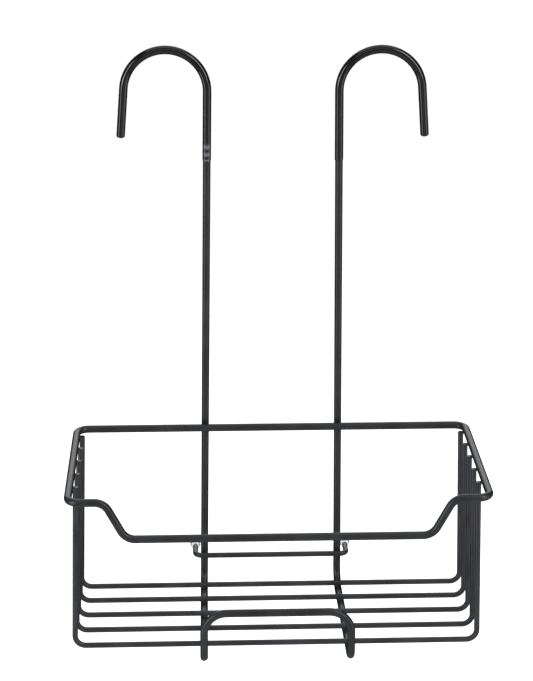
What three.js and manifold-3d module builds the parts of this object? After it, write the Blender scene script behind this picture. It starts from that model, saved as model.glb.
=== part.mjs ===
import * as THREE from 'three';
import { mergeVertices } from 'three/addons/utils/BufferGeometryUtils.js';
import Module from 'manifold-3d';

// Wire shower caddy that hangs over a wall-mounted bar mixer.
// Millimetres, +Z up, front towards -Y. While it is drawn, x = 0 is the middle,
// y = 0 the plane of the two uprights and z = 0 the underside of the floor runs.

const wasm = await Module();
wasm.setup();

// Wires, over their coat
const hangerDiameter = 5.5;
const rimDiameter = 5.5;
const thinDiameter = 4; // basket wires and wall bracket
const weldGap = 0.1; // kept between two wires that are welded where they cross

// Hanger: hook, upright, floor run and front stop, all one rod
const mixerSpacing = 150; // between the two unions of the mixer
const hookRadius = 29;
const hookCentreHeight = 383.5;
const hookFlare = THREE.MathUtils.degToRad(4.5);
const hookTipHeight = 351.6;
const uprightSpread = 4.6; // how far each upright moves out from the hook down to the floor
const uprightFootRadius = 13.5;
const runFrontX = 51.8;
const stopY = -118;
const stopHeight = 39.5; // centre of the stop bar
const stopFootRadius = 6;
const stopCornerRadius = 16;

// Soft sleeves on the hooks
const sleeveDiameter = 6.05;
const sleeveBoreRadius = 2.8;
const sleeveTipWall = 0.9;
const sleeveLowerEnd = 334;

// Rim
const rimHalfWidth = 143;
const rimHeight = 133;
const rimFrontY = -133.75;
const rimCornerRadius = 8.5;
const dipDepth = 27.5;
const dipTopX = 118.5;
const dipFootX = 104.2;
const dipRadius = 11;

// Basket wires
const basketWireCount = 5;
const basketWirePitch = 22.4;
const rearWireY = -13;
const basketTopX = 139.1;
const basketTopZ = 130.7; // the cut end, just under and inside the rim
const basketFootX = 143.1;
const basketCornerRadius = 7.5;

// Wall bracket and its bumpers
const bracketHeight = 28.2;
const bracketHalfWidth = 57.1;
const bracketCornerRadius = 5;
const wallY = 22;
const bumperLength = 11.5;
const bumperWallRadius = 4.4;
const bumperNeckRadius = 3;
const bumperBoreRadius = 2.1;
const bumperEdge = 0.5;
const bumperTipWall = 4;
const bumperTipGap = 0.3;

// How finely round shapes are cut
const thickSides = 12;
const thinSides = 8;
const bumperSides = 24;
const bendStep = THREE.MathUtils.degToRad(10);

const hangerRadius = hangerDiameter / 2;
const rimRadius = rimDiameter / 2;
const thinRadius = thinDiameter / 2;
const hookX = mixerSpacing / 2;
const uprightTopX = hookX - hookRadius;
const uprightFootX = uprightTopX + uprightSpread;
const uprightLean = uprightSpread / hookCentreHeight;
const rimRearY = -(hangerRadius + rimRadius + weldGap);
const basketFloorZ = hangerDiameter + thinRadius + weldGap;
const bracketY = -(hangerRadius + thinRadius + weldGap);

const coatedSteel = { color: 0x303236, roughness: 0.42, metalness: 0.25 };
const softSleeve = { color: 0x17181a, roughness: 0.2, metalness: 0 };
const clearPlastic = { color: 0xe9ecec, roughness: 0.12, metalness: 0, transparent: true, opacity: 0.45 };

// Centreline of a bent wire. A step of the sweep is a stretch between two stations,
// so the stations sit close together on the bends and straights take one step.
class BentWire extends THREE.Curve {
  constructor(stations) {
    super();
    this.stations = stations;
    this.steps = stations.length - 1;
  }

  stretchAt(t) {
    const place = t * this.steps;
    const index = Math.min(Math.floor(place), this.steps - 1);
    return [this.stations[index], this.stations[index + 1], place - index];
  }

  getPoint(t, target = new THREE.Vector3()) {
    const [from, to, part] = this.stretchAt(t);
    return target.lerpVectors(from.point, to.point, part);
  }

  getTangent(t, target = new THREE.Vector3()) {
    const [from, to, part] = this.stretchAt(t);
    return target.lerpVectors(from.along, to.along, part).normalize();
  }

  getUtoTmapping(u) {
    return u;
  }
}

// A place where two straights would meet, and the radius that rounds it.
function corner(x, y, z, radius = 0) {
  return { point: new THREE.Vector3(x, y, z), radius };
}

// Stations of the arc that rounds one corner: it starts radius * tan(turn / 2) before the corner.
function bendStations(before, at, after) {
  const arriving = at.point.clone().sub(before.point).normalize();
  const leaving = after.point.clone().sub(at.point).normalize();
  const turn = arriving.angleTo(leaving);
  const reach = at.radius * Math.tan(turn / 2);
  const start = at.point.clone().addScaledVector(arriving, -reach);
  const axis = arriving.clone().cross(leaving).normalize();
  const centre = start.clone().addScaledVector(axis.clone().cross(arriving), at.radius);
  const steps = Math.ceil(turn / bendStep);
  return Array.from({ length: steps + 1 }, (_, step) => {
    const angle = (turn * step) / steps;
    const point = start.clone().sub(centre).applyAxisAngle(axis, angle).add(centre);
    return { point, along: arriving.clone().applyAxisAngle(axis, angle) };
  });
}

// Stations of an open wire from its first corner to its last.
function wireStations(corners) {
  const last = corners.length - 1;
  const first = corners[0].point;
  const end = corners[last].point;
  const bends = corners.slice(1, last).flatMap((at, i) => bendStations(corners[i], at, corners[i + 2]));
  const startAlong = corners[1].point.clone().sub(first).normalize();
  const endAlong = end.clone().sub(corners[last - 1].point).normalize();
  return [{ point: first, along: startAlong }, ...bends, { point: end, along: endAlong }];
}

function sweep(stations, radius, sides) {
  const wire = new BentWire(stations);
  const section = new THREE.Shape().absarc(0, 0, radius, 0, 2 * Math.PI);
  return new THREE.ExtrudeGeometry(section, {
    steps: wire.steps,
    curveSegments: sides / 2, // a full circle is cut into twice as many
    extrudePath: wire,
  });
}

// The rim is one closed ring, so its tube closes on itself.
function closedSweep(stations, radius, sides) {
  const ring = new BentWire([...stations, stations[0]]);
  return new THREE.TubeGeometry(ring, ring.steps, radius, sides, true);
}

function solidOf(geometry) {
  const bare = geometry.clone();
  bare.deleteAttribute('normal');
  bare.deleteAttribute('uv');
  const merged = mergeVertices(bare);
  const vertProperties = merged.getAttribute('position').array;
  const triVerts = Uint32Array.from(merged.getIndex().array);
  return new wasm.Manifold(new wasm.Mesh({ numProp: 3, vertProperties, triVerts }));
}

function geometryOf(solid) {
  const { vertProperties, triVerts } = solid.getMesh();
  const geometry = new THREE.BufferGeometry();
  geometry.setAttribute('position', new THREE.BufferAttribute(vertProperties, 3));
  geometry.setIndex(new THREE.BufferAttribute(triVerts, 1));
  geometry.computeVertexNormals();
  return geometry;
}

function piece(name, geometry, look) {
  const mesh = new THREE.Mesh(geometry, new THREE.MeshStandardMaterial(look));
  mesh.name = name;
  return mesh;
}

// Where an upright's centre is at a height: it leans inwards as it rises.
function uprightX(height) {
  return uprightFootX - uprightLean * height;
}

// Corners of one hook, from the free tip over the mixer's union to the upright.
// side is -1 for the left and 1 for the right.
function hookCorners(side, tipHeight) {
  const top = hookCentreHeight + hookRadius;
  const outerCornerX = hookX + hookRadius * Math.tan(Math.PI / 4 - hookFlare / 2);
  const tipX = outerCornerX + (top - tipHeight) * Math.tan(hookFlare);
  return [
    corner(side * tipX, 0, tipHeight),
    corner(side * outerCornerX, 0, top, hookRadius),
    corner(side * uprightX(top), 0, top, hookRadius),
  ];
}

function hangerSide(side) {
  return [
    ...hookCorners(side, hookTipHeight),
    corner(side * uprightFootX, 0, hangerRadius, uprightFootRadius),
    corner(side * runFrontX, stopY, hangerRadius, stopFootRadius),
    corner(side * runFrontX, stopY, stopHeight, stopCornerRadius),
  ];
}

function hangerWire() {
  const corners = [...hangerSide(-1), ...hangerSide(1).reverse()];
  return piece('hanger_wire', sweep(wireStations(corners), hangerRadius, thickSides), coatedSteel);
}

// A closed-end sleeve: a solid tube over the hook, bored out for the rod.
function hookSleeve(name, side) {
  const lowerEnd = corner(side * uprightX(sleeveLowerEnd), 0, sleeveLowerEnd);
  const boreEnd = corner(side * uprightX(sleeveLowerEnd - 1), 0, sleeveLowerEnd - 1);
  const outside = wireStations([...hookCorners(side, hookTipHeight - sleeveTipWall), lowerEnd]);
  const inside = wireStations([...hookCorners(side, hookTipHeight - weldGap), boreEnd]);
  const tube = solidOf(sweep(outside, sleeveDiameter / 2, thickSides));
  const bore = solidOf(sweep(inside, sleeveBoreRadius, thickSides));
  return piece(name, geometryOf(tube.subtract(bore)), softSleeve);
}

// Corners of the rim's right half, from the rear bar round to the dipped front bar.
function rimHalf(side) {
  const lowZ = rimHeight - dipDepth;
  return [
    corner(side * rimHalfWidth, rimRearY, rimHeight, rimCornerRadius),
    corner(side * rimHalfWidth, rimFrontY, rimHeight, rimCornerRadius),
    corner(side * dipTopX, rimFrontY, rimHeight, dipRadius),
    corner(side * dipFootX, rimFrontY, lowZ, dipRadius),
  ];
}

function rimWire() {
  const corners = [...rimHalf(1), ...rimHalf(-1).reverse()];
  const count = corners.length;
  const stations = corners.flatMap((at, i) => {
    return bendStations(corners[(i + count - 1) % count], at, corners[(i + 1) % count]);
  });
  return piece('rim_wire', closedSweep(stations, rimRadius, thickSides), coatedSteel);
}

function basketSide(side, y) {
  return [
    corner(side * basketTopX, y, basketTopZ),
    corner(side * basketFootX, y, basketFloorZ, basketCornerRadius),
  ];
}

function basketWire(index) {
  const y = rearWireY - basketWirePitch * index;
  const corners = [...basketSide(-1, y), ...basketSide(1, y).reverse()];
  const name = `basket_wire_${index + 1}`;
  return piece(name, sweep(wireStations(corners), thinRadius, thinSides), coatedSteel);
}

function wallBracketWire() {
  const endY = wallY - bumperTipWall - bumperTipGap;
  const half = (side) => [
    corner(side * bracketHalfWidth, endY, bracketHeight),
    corner(side * bracketHalfWidth, bracketY, bracketHeight, bracketCornerRadius),
  ];
  const corners = [...half(-1), ...half(1).reverse()];
  return piece('wall_bracket_wire', sweep(wireStations(corners), thinRadius, thinSides), coatedSteel);
}

// A turned pad with a blind bore: narrow neck at the front, wide flat face on the wall.
function wallBumper(name, side) {
  const flareStart = -0.7 * bumperLength;
  const flareEnd = -0.25 * bumperLength;
  const flare = new THREE.CubicBezierCurve(
    new THREE.Vector2(bumperNeckRadius, flareStart),
    new THREE.Vector2(bumperNeckRadius, flareEnd),
    new THREE.Vector2(bumperWallRadius, flareStart),
    new THREE.Vector2(bumperWallRadius, flareEnd),
  );
  const profile = [
    new THREE.Vector2(0, -bumperTipWall),
    new THREE.Vector2(bumperBoreRadius, -bumperTipWall),
    new THREE.Vector2(bumperBoreRadius, -bumperLength),
    new THREE.Vector2(bumperNeckRadius, -bumperLength),
    ...flare.getPoints(8),
    new THREE.Vector2(bumperWallRadius, -bumperEdge),
    new THREE.Vector2(bumperWallRadius - bumperEdge, 0),
    new THREE.Vector2(0, 0),
  ];
  const bumper = piece(name, new THREE.LatheGeometry(profile, bumperSides), clearPlastic);
  bumper.position.set(side * bracketHalfWidth, wallY, bracketHeight);
  return bumper;
}

const caddy = new THREE.Group();
caddy.add(hangerWire());
caddy.add(hookSleeve('hook_sleeve_left', -1), hookSleeve('hook_sleeve_right', 1));
caddy.add(rimWire());
for (let index = 0; index < basketWireCount; index += 1) {
  caddy.add(basketWire(index));
}
caddy.add(wallBracketWire());
caddy.add(wallBumper('wall_bumper_left', -1), wallBumper('wall_bumper_right', 1));

// The origin is the middle of the outer size in Y.
caddy.position.y = -(wallY + rimFrontY - rimRadius) / 2;

export default caddy;
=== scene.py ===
import math

import bpy
import numpy as np
from mathutils import Matrix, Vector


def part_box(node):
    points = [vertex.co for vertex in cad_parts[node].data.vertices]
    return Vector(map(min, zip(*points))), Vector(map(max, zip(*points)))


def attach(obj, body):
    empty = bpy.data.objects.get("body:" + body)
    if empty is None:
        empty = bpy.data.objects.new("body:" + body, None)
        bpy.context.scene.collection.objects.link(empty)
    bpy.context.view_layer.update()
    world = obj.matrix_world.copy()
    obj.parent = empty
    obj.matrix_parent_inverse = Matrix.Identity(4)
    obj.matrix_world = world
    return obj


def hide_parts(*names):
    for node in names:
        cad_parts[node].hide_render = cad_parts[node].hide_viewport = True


# A wire shower caddy that hangs over a bar mixer. Sizes in the dictionaries are millimetres, with x from the
# middle, y from the plane of the two uprights (the front is negative) and z from the underside of the runs.

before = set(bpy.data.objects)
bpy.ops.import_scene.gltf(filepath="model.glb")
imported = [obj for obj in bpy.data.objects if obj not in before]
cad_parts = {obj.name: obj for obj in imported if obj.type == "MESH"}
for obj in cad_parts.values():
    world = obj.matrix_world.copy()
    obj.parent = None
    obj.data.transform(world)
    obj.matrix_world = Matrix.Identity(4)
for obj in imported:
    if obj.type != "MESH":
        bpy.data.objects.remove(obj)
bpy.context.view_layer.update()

wallDistance = 22  # from the plane of the uprights to the wall
millimetre = 0.001
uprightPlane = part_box("wall_bumper_left")[1].y - wallDistance * millimetre
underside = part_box("hanger_wire")[0].z
origin = np.array([0, uprightPlane, underside])  # where the dictionaries' zero lies, in metres
sideWords = {-1: "left", 1: "right"}


# Centre lines

# A vector divided by its length.
def unit(vector):
    return vector / np.linalg.norm(vector, axis=-1, keepdims=True)


# A wire's centre line from the corners where its straights would meet, each corner a point and a bend radius.
# A bend of radius r that turns by a starts r·tan(a/2) before its corner, and its places are
# centre + cos(t)·arm + sin(t)·(axis × arm) for t from 0 to a. The side direction is turned about the same
# axis, so a section carried along the line never twists. Rows that lie closer together than closest are one.
def bentLine(corners, closed=False, bendStep=4, closest=0.02):
    points = np.array([corner[:3] for corner in corners], float)
    radii = [corner[3] if len(corner) > 3 else 0 for corner in corners]
    count = len(points)
    ahead = unit(np.roll(points, -1, axis=0) - points)
    first = ahead[-1] if closed else ahead[0]
    start = unit(np.cross(first, (0, 0, 1) if abs(first[2]) < 0.9 else (0, 1, 0)))
    places, alongs, sides = [], [], []
    if not closed:
        places.append(points[:1])
        alongs.append(ahead[:1])
        sides.append(start[None])
    side = start
    for index in range(count) if closed else range(1, count - 1):
        arriving, leaving = ahead[index - 1], ahead[index]
        axis = unit(np.cross(arriving, leaving))
        turn = math.acos(np.clip(arriving @ leaving, -1, 1))
        radius = radii[index]
        t = np.linspace(0, turn, max(3, math.ceil(math.degrees(turn) / bendStep) + 1))[:, None]
        bendStart = points[index] - arriving * radius * math.tan(turn / 2)
        arm = -radius * np.cross(axis, arriving)
        places.append(bendStart - arm + np.cos(t) * arm + np.sin(t) * np.cross(axis, arm))
        alongs.append(np.cos(t) * arriving + np.sin(t) * np.cross(axis, arriving))
        held = axis * (axis @ side)
        sides.append(held + np.cos(t) * (side - held) + np.sin(t) * np.cross(axis, side))
        side = sides[-1][-1]
    if not closed:
        places.append(points[-1:])
        alongs.append(ahead[-2:-1])
        sides.append(side[None])
    places, alongs, sides = (np.concatenate(parts) for parts in (places, alongs, sides))
    kept = np.concatenate([[True], np.linalg.norm(np.diff(places, axis=0), axis=1) > closest])
    places = places[kept]
    steps = np.linalg.norm(np.diff(places, axis=0), axis=1)
    return {
        "place": places,
        "along": alongs[kept],
        "side": sides[kept],
        "run": np.concatenate([[0], np.cumsum(steps)]),
    }


# Surfaces

# A round profile carried along a line: place(s, a) = line(s) + reach(s)·(cos a·side(s) + sin a·across(s)),
# where across is along × side, s the way along the line and a the angle round it.
def carriedProfile(line, run, reach, columns):
    inside = np.clip(run, 0, line["run"][-1])

    # The line's places or directions at each row, between its own rows by a straight mix.
    def read(key):
        return np.stack([np.interp(inside, line["run"], line[key][:, k]) for k in range(3)], axis=1)

    along = unit(read("along"))
    side = unit(read("side"))
    centre = read("place") + (run - inside)[:, None] * along
    angle = np.linspace(0, 2 * np.pi, columns, endpoint=False)[None, :, None]
    ring = np.cos(angle) * side[:, None] + np.sin(angle) * np.cross(along, side)[:, None]
    return centre[:, None] + reach[:, None, None] * ring


# The profile of a wire with both edges rounded: near an end the reach is radius - edge + edge·sin(b)
# at edge·(1 - cos(b)) from the end, for b from 0 to a right angle.
def roundedEnds(line, radius, edge, steps=6):
    b = np.linspace(0, np.pi / 2, steps)
    length = line["run"][-1]
    middle = line["run"][(line["run"] > edge) & (line["run"] < length - edge)]
    endRun = edge * (1 - np.cos(b))
    endReach = radius - edge + edge * np.sin(b)
    run = np.concatenate([endRun, middle, (length - endRun)[::-1]])
    reach = np.concatenate([endReach, np.full(len(middle), radius), endReach[::-1]])
    return run, reach


# A mesh from grids of points, rows along and columns round. Columns close on themselves, and the rows either
# close too or end in a pole at the middle of the first and last row.
def addPiece(name, grids, closedRows=False):
    points, faces, first = [], [], 0
    for grid in grids:
        rows, columns = grid.shape[:2]
        index = first + np.arange(rows * columns).reshape(rows, columns)
        lower = index if closedRows else index[:-1]
        upper = np.roll(index, -1, axis=0) if closedRows else index[1:]
        quads = np.stack([lower, np.roll(lower, -1, 1), np.roll(upper, -1, 1), upper], axis=-1)
        faces += quads.reshape(-1, 4).tolist()
        points.append(grid.reshape(-1, 3))
        first += rows * columns
        if not closedRows:
            points.append(np.stack([grid[0].mean(0), grid[-1].mean(0)]))
            poles = np.broadcast_to([[first], [first + 1]], (2, columns))
            second = np.stack([np.roll(index[0], -1), index[-1]])
            third = np.stack([index[0], np.roll(index[-1], -1)])
            faces += np.stack([poles, second, third], axis=-1).reshape(-1, 3).tolist()
            first += 2
    places = np.concatenate(points) * millimetre + origin
    mesh = bpy.data.meshes.new(name)
    mesh.from_pydata(places, [], faces)
    mesh.shade_smooth()
    piece = bpy.data.objects.new(name, mesh)
    bpy.context.scene.collection.objects.link(piece)
    return piece


# Puts a finished piece in the model: its finish, the body it rides on, and the CAD nodes it stands for.
def fitPiece(piece, material, slotName, *nodes):
    piece.data.materials.append(material)
    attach(piece, "root")
    if nodes:
        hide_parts(*nodes)
    print("made", piece.name, len(piece.data.polygons), "faces")


# Materials

# sRGB hex to linear: c / 12.92 up to 0.04045, and ((c + 0.055) / 1.055) to the power 2.4 above it.
def colour(hexValue):
    srgb = np.array([int(hexValue[k:k + 2], 16) for k in (1, 3, 5)]) / 255
    linear = np.where(srgb <= 0.04045, srgb / 12.92, ((srgb + 0.055) / 1.055) ** 2.4)
    return (*linear.tolist(), 1)


# Adds one node with its settings, and links each named input to a socket.
def addNode(tree, kind, settings, **links):
    node = tree.nodes.new(kind)
    for key, value in settings.items():
        if isinstance(key, int) or key in node.inputs:
            node.inputs[key].default_value = value
        else:
            setattr(node, key, value)
    for key, socket in links.items():
        target = int(key[5:]) if key.startswith("input") else key
        tree.links.new(socket, node.inputs[target])
    return node


# A material with an empty node tree, and the tree itself.
def newMaterial(name):
    material = bpy.data.materials.new(name)
    material.use_nodes = True
    tree = material.node_tree
    tree.nodes.clear()
    return material, tree


# The scale that gives a noise waves of a size in millimetres: one over the size in metres.
def noiseScale(size):
    return 1 / (size * millimetre)


noiseSpan = {"From Min": 0.3, "From Max": 0.7}  # nearly all of a noise lies between these

powderCoat = {
    "colour": "#191a1d",
    "thinColour": "#212326",
    "roughness": (0.27, 0.34),
    "peelSize": 1.2,  # millimetres from wave to wave of the orange peel
    "peelDepth": 0.008,
    "gritSize": 0.25,  # grains of powder that melted last
    "gritDepth": 0.002,
    "cloudSize": 18,  # patches where the coat ran thick or thin
}


# Polyester powder coat, sprayed on welded steel wire and baked. The eye sees a satin charcoal with a soft
# orange peel, fine grains in the light, and a slightly greyer tone where the coat ran thin.
def makePowderCoat(name, facts):
    material, tree = newMaterial(name)
    space = addNode(tree, "ShaderNodeTexCoord", {}).outputs["Object"]
    cloud = addNode(
        tree, "ShaderNodeTexNoise", {"Scale": noiseScale(facts["cloudSize"]), "Detail": 3}, Vector=space
    )
    peel = addNode(
        tree, "ShaderNodeTexNoise", {"Scale": noiseScale(facts["peelSize"]), "Detail": 1}, Vector=space
    )
    grit = addNode(
        tree, "ShaderNodeTexNoise", {"Scale": noiseScale(facts["gritSize"]), "Detail": 2}, Vector=space
    )
    tone = addNode(tree, "ShaderNodeMapRange", {"From Min": 0.35, "From Max": 0.65}, Value=cloud.outputs[0])
    paint = addNode(
        tree,
        "ShaderNodeMix",
        {"data_type": "RGBA", 6: colour(facts["colour"]), 7: colour(facts["thinColour"])},
        Factor=tone.outputs[0],
    )
    satin = addNode(
        tree,
        "ShaderNodeMapRange",
        {**noiseSpan, "To Min": facts["roughness"][0], "To Max": facts["roughness"][1]},
        Value=grit.outputs[0],
    )
    waves = addNode(
        tree, "ShaderNodeBump", {"Distance": facts["peelDepth"] * millimetre}, Height=peel.outputs[0]
    )
    grains = addNode(
        tree,
        "ShaderNodeBump",
        {"Distance": facts["gritDepth"] * millimetre},
        Height=grit.outputs[0],
        Normal=waves.outputs[0],
    )
    shader = addNode(
        tree,
        "ShaderNodeBsdfPrincipled",
        {"IOR": 1.5, "Specular IOR Level": 0.42},
        **{"Base Color": paint.outputs[2], "Roughness": satin.outputs[0], "Normal": grains.outputs[0]},
    )
    addNode(tree, "ShaderNodeOutputMaterial", {}, Surface=shader.outputs[0])
    return material


vinylSleeve = {
    "colour": "#08080a",
    "bloomColour": "#101114",
    "roughness": (0.11, 0.17),
    "waveSize": 3.5,  # millimetres between the slow swells a dipped skin dries with
    "waveDepth": 0.01,
    "bloomSize": 6,  # patches of the greasy bloom
    "foldHighlightColour": "#58585e",  # painted highlight laid on the front of the sleeve's folds
}


# Plasticised PVC, dip moulded and pushed over the hooks. The eye sees a wet-looking black with sharp light
# lines and a faint greasy bloom.
def makeVinyl(facts):
    material, tree = newMaterial("dipped_black_vinyl")
    space = addNode(tree, "ShaderNodeTexCoord", {}).outputs["Object"]
    swell = addNode(
        tree, "ShaderNodeTexNoise", {"Scale": noiseScale(facts["waveSize"]), "Detail": 1}, Vector=space
    )
    bloom = addNode(
        tree, "ShaderNodeTexNoise", {"Scale": noiseScale(facts["bloomSize"]), "Detail": 4}, Vector=space
    )
    skin = addNode(
        tree,
        "ShaderNodeMix",
        {"data_type": "RGBA", 6: colour(facts["colour"]), 7: colour(facts["bloomColour"])},
        Factor=bloom.outputs[0],
    )
    # painted highlight: a pale grey mixed into the black where the folds bulge, standing in for the light
    # they catch
    fold_highlight = addNode(tree, "ShaderNodeAttribute", {"attribute_name": "fold_highlight"}).outputs["Fac"]
    paintedFoldHighlight = addNode(
        tree,
        "ShaderNodeMix",
        {"data_type": "RGBA", 7: colour(facts["foldHighlightColour"])},
        Factor=fold_highlight,
        input6=skin.outputs[2],
    )
    gloss = addNode(
        tree,
        "ShaderNodeMapRange",
        {**noiseSpan, "To Min": facts["roughness"][0], "To Max": facts["roughness"][1]},
        Value=bloom.outputs[0],
    )
    waves = addNode(
        tree, "ShaderNodeBump", {"Distance": facts["waveDepth"] * millimetre}, Height=swell.outputs[0]
    )
    shader = addNode(
        tree,
        "ShaderNodeBsdfPrincipled",
        {"IOR": 1.53, "Specular IOR Level": 0.62},
        **{"Base Color": paintedFoldHighlight.outputs[2], "Roughness": gloss.outputs[0], "Normal": waves.outputs[0]},
    )
    addNode(tree, "ShaderNodeOutputMaterial", {}, Surface=shader.outputs[0])
    return material


clearVinyl = {
    "colour": "#e4e8e8",
    "roughness": (0.05, 0.12),
    "flowSize": 2.5,  # millimetres across the flow marks from the gate
    "flowDepth": 0.01,
}


# Clear soft PVC, injection moulded. The eye sees a pale glassy bead with grey edges, and the wire inside it.
def makeClearVinyl(facts):
    material, tree = newMaterial("clear_soft_vinyl")
    space = addNode(tree, "ShaderNodeTexCoord", {}).outputs["Object"]
    flow = addNode(
        tree, "ShaderNodeTexNoise", {"Scale": noiseScale(facts["flowSize"]), "Detail": 2}, Vector=space
    )
    haze = addNode(
        tree,
        "ShaderNodeMapRange",
        {**noiseSpan, "To Min": facts["roughness"][0], "To Max": facts["roughness"][1]},
        Value=flow.outputs[0],
    )
    waves = addNode(
        tree, "ShaderNodeBump", {"Distance": facts["flowDepth"] * millimetre}, Height=flow.outputs[0]
    )
    shader = addNode(
        tree,
        "ShaderNodeBsdfPrincipled",
        {"Base Color": colour(facts["colour"]), "IOR": 1.52, "Transmission Weight": 1.0},
        Roughness=haze.outputs[0],
        Normal=waves.outputs[0],
    )
    addNode(tree, "ShaderNodeOutputMaterial", {}, Surface=shader.outputs[0])
    return material


coat = makePowderCoat("satin_powder_coat", powderCoat)
paintedHighlightCoat = {**powderCoat, "colour": "#1e1f23", "thinColour": "#28292d"}  # painted lighter: the same coat, lightened to stand in for the highlights the thin wires catch
thinWireHighlightCoat = makePowderCoat("satin_powder_coat_thin_wire_painted_highlight", paintedHighlightCoat)
sleeveSkin = makeVinyl(vinylSleeve)
bumperSkin = makeClearVinyl(clearVinyl)
print("materials made")


# Hanger: both hooks, the uprights, the floor runs and the front stop, one rod bent cold

hanger = {
    "diameter": 5.5,
    "hookX": 75,  # half the distance between the unions of the mixer
    "hookRadius": 29,
    "hookCentreHeight": 383.5,
    "hookFlare": 4.5,  # degrees that the free leg leans outwards
    "hookTipHeight": 351.6,
    "uprightSpread": 4.6,  # how much further out an upright's foot is than its top
    "uprightFootRadius": 13.5,
    "runFrontX": 51.8,
    "stopY": -118,
    "stopHeight": 39.5,
    "stopFootRadius": 6,
    "stopCornerRadius": 16,
    "cutEdge": 0.4,  # rounding of the cut ends
    "columns": 36,  # points round the section
}
hangerRadius = hanger["diameter"] / 2
uprightFootX = hanger["hookX"] - hanger["hookRadius"] + hanger["uprightSpread"]


# An upright leans inwards by the spread over the height of the hook's centre.
def uprightX(height):
    return uprightFootX - hanger["uprightSpread"] * height / hanger["hookCentreHeight"]


# One hook from its free tip to the upright. Its outer corner lies radius·tan(45° - flare / 2) beyond the
# middle, and the tip lies as much further out as the flare gives over the leg's height.
def hookCorners(side, tipHeight):
    flare = math.radians(hanger["hookFlare"])
    top = hanger["hookCentreHeight"] + hanger["hookRadius"]
    outerX = hanger["hookX"] + hanger["hookRadius"] * math.tan(math.pi / 4 - flare / 2)
    tipX = outerX + (top - tipHeight) * math.tan(flare)
    return [
        (side * tipX, 0, tipHeight),
        (side * outerX, 0, top, hanger["hookRadius"]),
        (side * uprightX(top), 0, top, hanger["hookRadius"]),
    ]


# One side of the rod: the hook's tip, down the upright, along the floor run and up to the stop's top corner.
def hangerSide(side):
    frontX, stopY, stopHeight = side * hanger["runFrontX"], hanger["stopY"], hanger["stopHeight"]
    return [
        *hookCorners(side, hanger["hookTipHeight"]),
        (side * uprightFootX, 0, hangerRadius, hanger["uprightFootRadius"]),
        (frontX, stopY, hangerRadius, hanger["stopFootRadius"]),
        (frontX, stopY, stopHeight, hanger["stopCornerRadius"]),
    ]


hangerLine = bentLine([*hangerSide(-1), *hangerSide(1)[::-1]])
hangerEnds = roundedEnds(hangerLine, hangerRadius, hanger["cutEdge"])
hangerGrid = carriedProfile(hangerLine, *hangerEnds, hanger["columns"])
fitPiece(addPiece("hanger_rod", [hangerGrid]), coat, "coated_steel", "hanger_wire")


# Soft sleeves over the hooks

sleeve = {
    "diameter": 6.05,
    "boreRadius": 2.79,
    "boreEnd": ((0.1, 2.6), (0, 2.1)),  # way along the line and reach, where the blind bore closes
    "boreGap": 0.5,  # from the line's start to the bore's first full row
    "tipWall": 0.9,
    "tipHeight": 1.7,
    "tipFlatness": 0.7,  # 1 is a half ellipse, less is blunter
    "tipGap": 0.2,  # from the tip's last row to the next
    "lowerEnd": 334,
    "lip": 0.25,  # rounding of the cut mouth
    "mouthLength": 14,  # above the mouth, where the rows are close enough for the folds
    "mouthRows": 90,
    # each fold's height, half length and swell, on the left and the right sleeve
    "folds": {-1: [(0.6, 0.7, 0.02), (4.9, 1.3, 0.06), (10.3, 1.5, 0.08)], 1: []},
    "columns": 32,
}


# A closed sleeve as one profile along the hook: the outside runs from a blunt tip, with the reach
# radius·sin(b) to the power flatness, to the mouth, turns in over a rounded lip, and the bore runs back.
# A fold, so high above the mouth, adds swell·exp(-((s - height) / half length)²) to the outside.
def sleeveGrid(side, tipRows=14, lipRows=9, firstAngle=0.03):
    lower = sleeve["lowerEnd"]
    corners = [*hookCorners(side, hanger["hookTipHeight"]), (side * uprightX(lower), 0, lower)]
    line = bentLine(corners, bendStep=3)
    length = line["run"][-1]
    outer, lip = sleeve["diameter"] / 2, sleeve["lip"]
    b = np.linspace(firstAngle, np.pi / 2, tipRows)
    tipRun = -sleeve["tipWall"] + sleeve["tipHeight"] * (1 - np.cos(b))
    tipReach = outer * np.sin(b) ** sleeve["tipFlatness"]
    mouthStart = length - sleeve["mouthLength"]
    body = line["run"][(line["run"] > tipRun[-1] + sleeve["tipGap"]) & (line["run"] < mouthStart)]
    mouth = np.linspace(mouthStart, length - lip, sleeve["mouthRows"])
    mouthReach = np.full(len(mouth), outer)
    for up, half, swell in sleeve["folds"][side]:
        mouthReach += swell * np.exp(-(((length - up) - mouth) / half) ** 2)
    c = np.linspace(0, np.pi, lipRows)[1:-1]
    lipWall = (outer - sleeve["boreRadius"]) / 2
    lipRun = length - lip + lip * np.sin(c)
    lipReach = outer - lipWall + lipWall * np.cos(c)
    bore = line["run"][(line["run"] > sleeve["boreGap"]) & (line["run"] < length - lip)][::-1]
    boreReach = np.full(len(bore) + 1, sleeve["boreRadius"])
    endRun, endReach = zip(*sleeve["boreEnd"])
    run = np.concatenate([tipRun, body, mouth, lipRun, [length - lip], bore, endRun])
    reach = np.concatenate([tipReach, np.full(len(body), outer), mouthReach, lipReach, boreReach, endReach])
    return carriedProfile(line, run, reach, sleeve["columns"])


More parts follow.
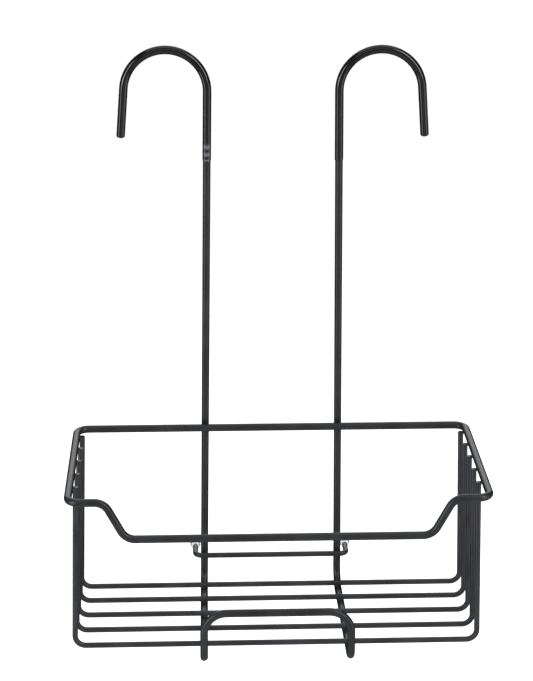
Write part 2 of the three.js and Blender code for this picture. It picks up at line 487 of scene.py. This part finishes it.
# How strongly the painted highlight lies on the folds: the largest exp(-((height - fold's height) / half
# length)²) of the folds, on the upright's leg only, times the square of how far a point lies towards the
# front.
def markFoldHighlights(piece, side):
    places = np.empty(len(piece.data.vertices) * 3)
    piece.data.vertices.foreach_get("co", places)
    x, y, z = (places.reshape(-1, 3) - origin).T / millimetre
    front = np.clip(-2 * y / sleeve["diameter"], 0, 1) ** 2 * (x * side < hanger["hookX"])
    fold_highlight = np.zeros(len(x))
    for up, half, _ in sleeve["folds"][side]:
        fold_highlight = np.maximum(fold_highlight, front * np.exp(-(((z - sleeve["lowerEnd"] - up) / half) ** 2)))
    piece.data.attributes.new("fold_highlight", "FLOAT", "POINT").data.foreach_set("value", fold_highlight)


for side, word in sideWords.items():
    piece = addPiece(f"vinyl_sleeve_{word}", [sleeveGrid(side)])
    markFoldHighlights(piece, side)
    fitPiece(piece, sleeveSkin, "soft_sleeve", f"hook_sleeve_{word}")


# Rim: one closed ring with its front bar dipped

rim = {
    "diameter": 5.5,
    "weldGap": 0.1,
    "halfWidth": 143,
    "height": 133,
    "frontY": -133.75,
    "cornerRadius": 8.5,
    "dipDepth": 27.5,
    "dipTopX": 118.5,
    "dipFootX": 104.2,
    "dipRadius": 11,
    "columns": 32,
}
rimRadius = rim["diameter"] / 2
rimRearY = -(hangerRadius + rimRadius + rim["weldGap"])


# Half of the ring, from the rear corner round the side to the foot of the dip.
def rimHalf(side):
    lowHeight = rim["height"] - rim["dipDepth"]
    return [
        (side * rim["halfWidth"], rimRearY, rim["height"], rim["cornerRadius"]),
        (side * rim["halfWidth"], rim["frontY"], rim["height"], rim["cornerRadius"]),
        (side * rim["dipTopX"], rim["frontY"], rim["height"], rim["dipRadius"]),
        (side * rim["dipFootX"], rim["frontY"], lowHeight, rim["dipRadius"]),
    ]


rimLine = bentLine([*rimHalf(1), *rimHalf(-1)[::-1]], closed=True)
rimGrid = carriedProfile(rimLine, rimLine["run"], np.full(len(rimLine["run"]), rimRadius), rim["columns"])
fitPiece(addPiece("rim_ring", [rimGrid], closedRows=True), coat, "coated_steel", "rim_wire")


# Basket: five thin wires, each a U whose cut ends are welded to the inside of the rim

basket = {
    "diameter": 4,
    "count": 5,
    "pitch": 22.4,
    "rearY": -13,
    "topX": 139.1,
    "topHeight": 130.7,
    "footX": 143.1,
    "cornerRadius": 7.5,
    "cutEdge": 0.5,
    "columns": 28,
}
thinRadius = basket["diameter"] / 2
basketFloor = hanger["diameter"] + thinRadius + rim["weldGap"]
basketRows = basket["rearY"] - basket["pitch"] * np.arange(basket["count"])


# One leg of a hoop, from its cut end down to the floor's corner.
def basketSide(side, y):
    return [
        (side * basket["topX"], y, basket["topHeight"]),
        (side * basket["footX"], y, basketFloor, basket["cornerRadius"]),
    ]


for number, y in enumerate(basketRows, 1):
    line = bentLine([*basketSide(-1, y), *basketSide(1, y)[::-1]])
    grid = carriedProfile(line, *roundedEnds(line, thinRadius, basket["cutEdge"]), basket["columns"])
    fitPiece(addPiece(f"basket_hoop_{number}", [grid]), thinWireHighlightCoat, "coated_steel", f"basket_wire_{number}")


# Wall bracket and its two clear bumpers

bracket = {
    "height": 28.2,
    "halfWidth": 57.1,
    "cornerRadius": 5,
    "endInset": 4.3,  # from the wall to the end of the wire
    "cutEdge": 0.6,
    "columns": 28,
}
bracketY = -(hangerRadius + thinRadius + rim["weldGap"])


# Half of the bracket, from its end near the wall to the corner.
def bracketHalf(side):
    x, z = side * bracket["halfWidth"], bracket["height"]
    return [
        (x, wallDistance - bracket["endInset"], z),
        (x, bracketY, z, bracket["cornerRadius"]),
    ]


bracketLine = bentLine([*bracketHalf(-1), *bracketHalf(1)[::-1]])
bracketEnds = roundedEnds(bracketLine, thinRadius, bracket["cutEdge"])
bracketGrid = carriedProfile(bracketLine, *bracketEnds, bracket["columns"])
fitPiece(addPiece("wall_bracket_rod", [bracketGrid]), thinWireHighlightCoat, "coated_steel", "wall_bracket_wire")


bumper = {
    "length": 11.5,
    "wallRadius": 4.4,
    "neckRadius": 3,
    "boreRadius": 2.05,
    "boreEnd": ((0.25, 0.5), (0.12, 0.85)),  # way past the bore and share of its radius, where it closes
    "boreGap": 0.3,  # from the neck's rounding to the bore's first full row
    "edge": 0.5,
    "tipWall": 4,
    "swellFrom": 2.2,  # where the outside starts to widen, from the neck's end
    "swellTo": 7,
    "columns": 40,
}


# A turned pad: the outside swells from the neck to the wall face by reach = neck + (wall - neck)·ease(t),
# where ease is 3t² - 2t³, with both edges rounded, and the blind bore runs back from the neck.
def bumperGrid(side, edgeRows=7, lipRows=11, swellRows=24, boreRows=8):
    x, z = side * bracket["halfWidth"], bracket["height"]
    front = wallDistance - bumper["length"]
    line = bentLine([(x, front, z), (x, wallDistance, z)])
    length, edge = bumper["length"], bumper["edge"]
    b = np.linspace(0, np.pi / 2, edgeRows)
    neckEdge = (bumper["neckRadius"] - bumper["boreRadius"]) / 2
    c = np.linspace(0, np.pi, lipRows)
    lipRun = neckEdge * (1 - np.sin(c))
    lipReach = bumper["boreRadius"] + neckEdge * (1 - np.cos(c))
    t = np.linspace(0, 1, swellRows)[1:-1]
    swell = bumper["neckRadius"] + (bumper["wallRadius"] - bumper["neckRadius"]) * (3 * t**2 - 2 * t**3)
    swellRun = bumper["swellFrom"] + (bumper["swellTo"] - bumper["swellFrom"]) * t
    endRun = length - edge + edge * np.sin(b)
    endReach = bumper["wallRadius"] - edge + edge * np.cos(b)
    bore = np.linspace(length - bumper["tipWall"], neckEdge + bumper["boreGap"], boreRows)
    past, share = np.array(bumper["boreEnd"]).T
    boreReach = np.full(len(bore), bumper["boreRadius"])
    run = np.concatenate([bore[0] + past, bore, lipRun, swellRun, endRun])
    reach = np.concatenate([bumper["boreRadius"] * share, boreReach, lipReach, swell, endReach])
    return carriedProfile(line, run, reach, bumper["columns"])


for side, word in sideWords.items():
    piece = addPiece(f"clear_bumper_{word}", [bumperGrid(side)])
    fitPiece(piece, bumperSkin, "clear_bumper", f"wall_bumper_{word}")


# Weld beads where two wires cross

weld = {
    "opening": 0.75,  # the crevice is filled out to where it is this high
    "hollow": 0.35,  # how far the bead's side dishes in
    "sink": 0.06,  # how far the bead reaches into the wires
    "widest": 0.93,  # the most that a bead spreads, as a share of the thinner wire's radius
    "dropHalf": (0.95, 1.7, 1.35),  # half sizes of the drop at a cut end, across, along and up the rim
    "dropTaper": 0.2,
    "rimShare": 0.7,  # where the drop meets the rim, inwards from its middle, as a share of its radius
    "dropBelow": 0.35,  # from a hoop's cut end down to the drop's middle
}


# A bead in the crevice between two crossed wires, seen along the line that joins their axes. Round the
# contact by angle a, its outline lies at sqrt(2·opening / (sin²a/r1 + cos²a/r2)). Underneath it follows the
# first wire at depth r1 - sqrt(r1² - (d·sin a)²), on top the second in the same way, and between the two its
# side rises by (1-t)²·low + 2t(1-t)·middle + t²·high and dishes in by 2t(1-t)·hollow. The first ring round
# each pole lies at the inner share of the outline.
def beadGrid(r1, r2, rows=7, columns=32, inner=0.1):
    a = np.linspace(0, 2 * np.pi, columns, endpoint=False)[None]
    outline = np.sqrt(2 * weld["opening"] / (np.sin(a) ** 2 / r1 + np.cos(a) ** 2 / r2))
    outline = np.minimum(outline, weld["widest"] * min(r1, r2))
    gap = rim["weldGap"]

    # The bead's underside and its top, at the distance d from the contact.
    def under(d):
        return -gap / 2 - (r1 - np.sqrt(r1**2 - (d * np.sin(a)) ** 2)) - weld["sink"]

    def over(d):
        return gap / 2 + (r2 - np.sqrt(r2**2 - (d * np.cos(a)) ** 2)) + weld["sink"]

    out = np.linspace(inner, 1, rows)[:, None] * outline
    t = np.linspace(0, 1, rows)[1:-1, None]
    low, high = under(outline), over(outline)
    sideReach = outline - weld["hollow"] * 2 * t * (1 - t)
    sideHeight = (1 - t) ** 2 * low + t * (1 - t) * (low + high) + t**2 * high
    reach = np.concatenate([out, sideReach, out[::-1]])
    height = np.concatenate([under(out), sideHeight, over(out)[::-1]])
    return np.stack([reach * np.cos(a), reach * np.sin(a), height], axis=-1)


# A drop of weld as an egg: place(b, a) = (x·cos b·cos a, y·cos b·sin a, z·sin b) with its half sizes x, y
# and z, where x and y shrink by 1 - taper·sin b towards the top.
def dropGrid(rows=14, columns=28):
    b = np.linspace(-np.pi / 2, np.pi / 2, rows)[1:-1, None]
    a = np.linspace(0, 2 * np.pi, columns, endpoint=False)[None]
    x, y, z = weld["dropHalf"]
    girth = np.cos(b) * (1 - weld["dropTaper"] * np.sin(b))
    return np.stack([x * girth * np.cos(a), y * girth * np.sin(a), z * np.sin(b) + 0 * a], axis=-1)


# Sets a bead at each place: place + grid × (firstAlong, up × firstAlong, up), where firstAlong is the first
# wire's direction and up points from it to the second wire.
def beadsAt(places, grid, firstAlong, up):
    axes = np.array([firstAlong, np.cross(up, firstAlong), up], float)
    return [place + grid @ axes for place in np.array(places, float)]


contactY = -(hangerRadius + rim["weldGap"] / 2)
contactFloor = hanger["diameter"] + rim["weldGap"] / 2
runLean = (hanger["runFrontX"] - uprightFootX) / hanger["stopY"]
rimPlaces = [(side * uprightX(rim["height"]), contactY, rim["height"]) for side in sideWords]
bracketPlaces = [(side * uprightX(bracket["height"]), contactY, bracket["height"]) for side in sideWords]
floorPlaces = [
    (side * (uprightFootX + runLean * y), y, contactFloor) for side in sideWords for y in basketRows
]
dropX = (basket["topX"] + thinRadius + rim["halfWidth"] - weld["rimShare"] * rimRadius) / 2
dropHeight = basket["topHeight"] - weld["dropBelow"]
dropPlaces = [(side * dropX, y, dropHeight) for side in sideWords for y in basketRows]
weldSets = {
    "rim_weld_beads": beadsAt(rimPlaces, beadGrid(hangerRadius, rimRadius), (0, 0, 1), (0, -1, 0)),
    "bracket_weld_beads": beadsAt(bracketPlaces, beadGrid(hangerRadius, thinRadius), (0, 0, 1), (0, -1, 0)),
    "floor_weld_beads": beadsAt(floorPlaces, beadGrid(hangerRadius, thinRadius), (0, 1, 0), (0, 0, 1)),
    "basket_end_welds": beadsAt(dropPlaces, dropGrid(), (1, 0, 0), (0, 0, 1)),
}
for name, grids in weldSets.items():
    fitPiece(addPiece(name, grids), coat, "coated_steel")


# Floor, light and camera

studio = {
    "floorDrop": 600,  # the caddy hangs, so the floor is well below it
    "floorReach": 16000,
    "floorThickness": 20,
    "floorColour": "#f6f6f4",
    "paperGrain": 1.5,  # millimetres from fibre clump to clump
    "grainDepth": 0.01,
    "skyStrength": 1.1,
    "aimHeight": 200,
}


# The floor is a flat round slab: place(r, a) = (r·cos a, r·sin a, height), from the middle of its underside
# out to the edge and back to the middle of its top.
def makeFloor(rows=10, columns=96, inner=0.1):
    out = np.linspace(inner, 1, rows) * studio["floorReach"]
    radius = np.concatenate([out, out[::-1]])[:, None]
    height = np.repeat([-studio["floorThickness"], 0], len(out))[:, None] - studio["floorDrop"]
    a = np.linspace(0, 2 * np.pi, columns, endpoint=False)[None]
    floorGrid = np.stack([radius * np.cos(a), radius * np.sin(a), height + 0 * a], axis=-1)
    floor = addPiece("studio_floor", [floorGrid])
    # matt background paper, calendered: the eye sees an even white with almost no grain
    material, tree = newMaterial("background_paper")
    space = addNode(tree, "ShaderNodeTexCoord", {}).outputs["Object"]
    grain = addNode(tree, "ShaderNodeTexNoise", {"Scale": noiseScale(studio["paperGrain"])}, Vector=space)
    bump = addNode(
        tree, "ShaderNodeBump", {"Distance": studio["grainDepth"] * millimetre}, Height=grain.outputs[0]
    )
    shader = addNode(
        tree,
        "ShaderNodeBsdfPrincipled",
        {"Base Color": colour(studio["floorColour"]), "Roughness": 0.9, "Specular IOR Level": 0},
        Normal=bump.outputs[0],
    )
    addNode(tree, "ShaderNodeOutputMaterial", {}, Surface=shader.outputs[0])
    floor.data.materials.append(material)
    floor.visible_glossy = False


makeFloor()

world = bpy.data.worlds.new("studio_sky")
world.use_nodes = True
world.node_tree.nodes["Background"].inputs["Color"].default_value = (1, 1, 1, 1)
world.node_tree.nodes["Background"].inputs["Strength"].default_value = studio["skyStrength"]
world.cycles_visibility.glossy = False
world.cycles_visibility.transmission = False
bpy.context.scene.world = world

# Soft panels that face the caddy: azimuth from the front, positive to the right, elevation, distance, width,
# height and brightness
panels = {
    "left_panel": (-60, -8, 1500, 560, 1250, 2.8),
    "left_high_panel": (-52, 16, 1500, 520, 750, 4.3),
    "right_panel": (60, -12, 1500, 1400, 900, 1.1),
    "right_high_panel": (50, 29, 1500, 520, 1300, 4.3),
    "left_side_fill": (-100, -5, 1500, 900, 1250, 0.1),
    "right_side_fill": (105, -5, 1500, 700, 1250, 0.1),
    "front_panel": (0, 32, 1900, 1600, 900, 0.6),
    "front_fill": (0, -22, 1500, 900, 900, 0.5),
    "low_panel": (0, -75, 700, 1600, 900, 0.4),
    "top_panel": (0, 90, 1900, 2200, 1800, 0.8),
    "back_panel": (180, 28, 2400, 3000, 1300, 2.1),
}


# A panel turned towards the middle of the caddy, with the energy brightness·π·width·height.
def addPanel(name, azimuth, elevation, distance, width, tall, brightness):
    turn, lift = math.radians(azimuth), math.radians(elevation)
    light = bpy.data.lights.new(name, "AREA")
    light.shape = "RECTANGLE"
    light.size = width * millimetre
    light.size_y = tall * millimetre
    light.energy = brightness * math.pi * light.size * light.size_y
    panel = bpy.data.objects.new(name, light)
    panel.matrix_world = (
        Matrix.Translation((0, 0, studio["aimHeight"] * millimetre))
        @ Matrix.Rotation(turn, 4, "Z")
        @ Matrix.Rotation(math.pi / 2 - lift, 4, "X")
        @ Matrix.Translation((0, 0, distance * millimetre))
    )
    panel.visible_camera = False
    bpy.context.scene.collection.objects.link(panel)


for name, facts in panels.items():
    addPanel(name, *facts)

view = {
    "place": (-57.84, -1277.08, 664.98),
    "turn": -0.04217,  # radians, about the vertical
    "tilt": -0.34963,
    "roll": -0.00458,
    "lens": 98.71,
    "sensor": 36,  # width, millimetres like the lens
}
camera = bpy.data.objects.new("camera", bpy.data.cameras.new("camera"))
camera.data.lens = view["lens"]
camera.data.sensor_width = view["sensor"]
camera.matrix_world = (
    Matrix.Translation(np.array(view["place"]) * millimetre + origin)
    @ Matrix.Rotation(view["turn"], 4, "Z")
    @ Matrix.Rotation(math.pi / 2 + view["tilt"], 4, "X")
    @ Matrix.Rotation(-view["roll"], 4, "Z")
)
bpy.context.scene.collection.objects.link(camera)
bpy.context.scene.camera = camera
bpy.context.scene.view_settings.view_transform = "Standard"
print("floor, light and camera placed")
